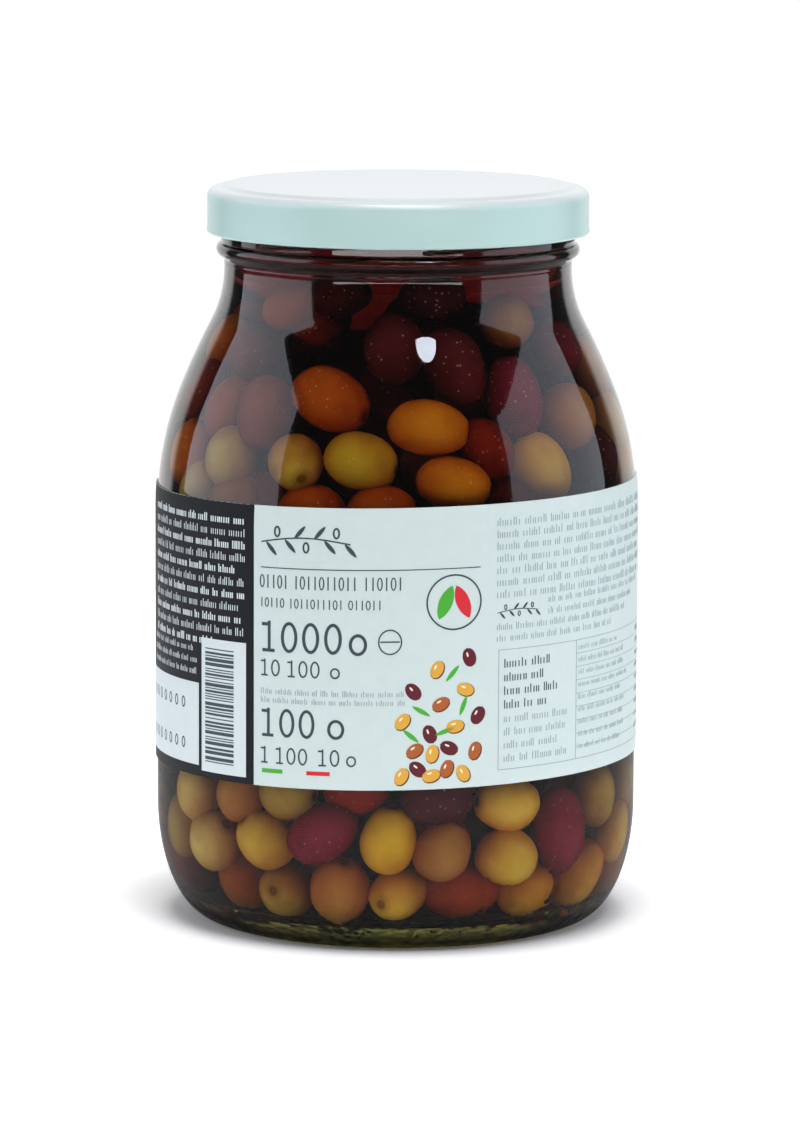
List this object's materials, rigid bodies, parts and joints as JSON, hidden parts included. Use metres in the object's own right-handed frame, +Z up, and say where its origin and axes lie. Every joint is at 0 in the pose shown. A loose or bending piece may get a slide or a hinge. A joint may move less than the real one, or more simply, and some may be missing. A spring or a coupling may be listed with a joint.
{
  "type": "jar of olives",
  "caption": "Shut glass jar with sloping shoulders, a white twist-off lid and a label round its body, filled with small mixed olives in dark brine.",
  "frame": {"origin": "centre of the jar's base, on the surface it stands on", "axes": "+Z up along the jar's axis, -Y towards the front of the label"},
  "size_m": [0.1078, 0.1074, 0.1638],
  "materials": {
    "glass": "clear, very slightly green",
    "lid_paint": "white lacquer, semi-gloss",
    "label_paper": "matt printed, pale and black fields",
    "olives": "mixed ripe olives in brine, gold, brown and burgundy"
  },
  "bodies": {
    "root": {"glass_jar": "glass", "lid": "lid_paint", "label": "label_paper", "olives": "olives"}
  },
  "joints": []
}
